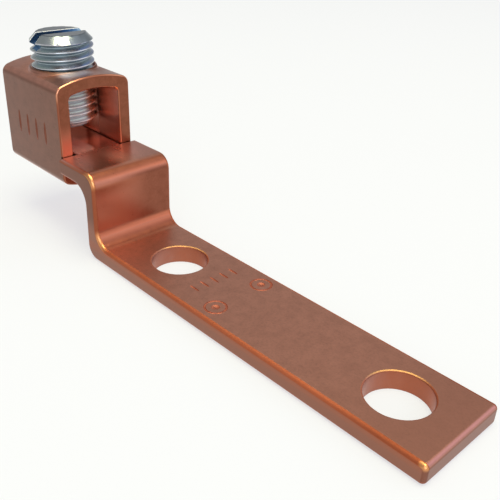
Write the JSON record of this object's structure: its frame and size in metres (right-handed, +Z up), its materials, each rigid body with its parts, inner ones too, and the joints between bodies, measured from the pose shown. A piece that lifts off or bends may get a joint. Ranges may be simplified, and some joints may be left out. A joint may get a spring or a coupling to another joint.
{
  "type": "mechanical lug",
  "caption": "Copper mechanical lug with an offset two-hole tongue, a closed collar round its tail and a slotted clamp screw for one small wire.",
  "frame": {"origin": "middle of the two-hole bolt pattern, on the pad's underside", "axes": "+X from the collar to the pad's free end, +Y across the tongue, +Z up out of the pad, along the clamp screw"},
  "size_m": [0.055, 0.0092, 0.0199],
  "materials": {
    "copper": "satin brown copper, lightly tarnished",
    "zinc_plated_steel": "bright blue-silver zinc plating"
  },
  "bodies": {
    "lug": {"tongue": "copper", "collar": "copper"},
    "screw": {"clamp_screw": "zinc_plated_steel"}
  },
  "joints": [
    {"name": "screw_travel", "type": "slide", "parent": "lug", "child": "screw", "axis": [0, 0, 1], "range_m": [-0.0015, 0.0046]}
  ]
}
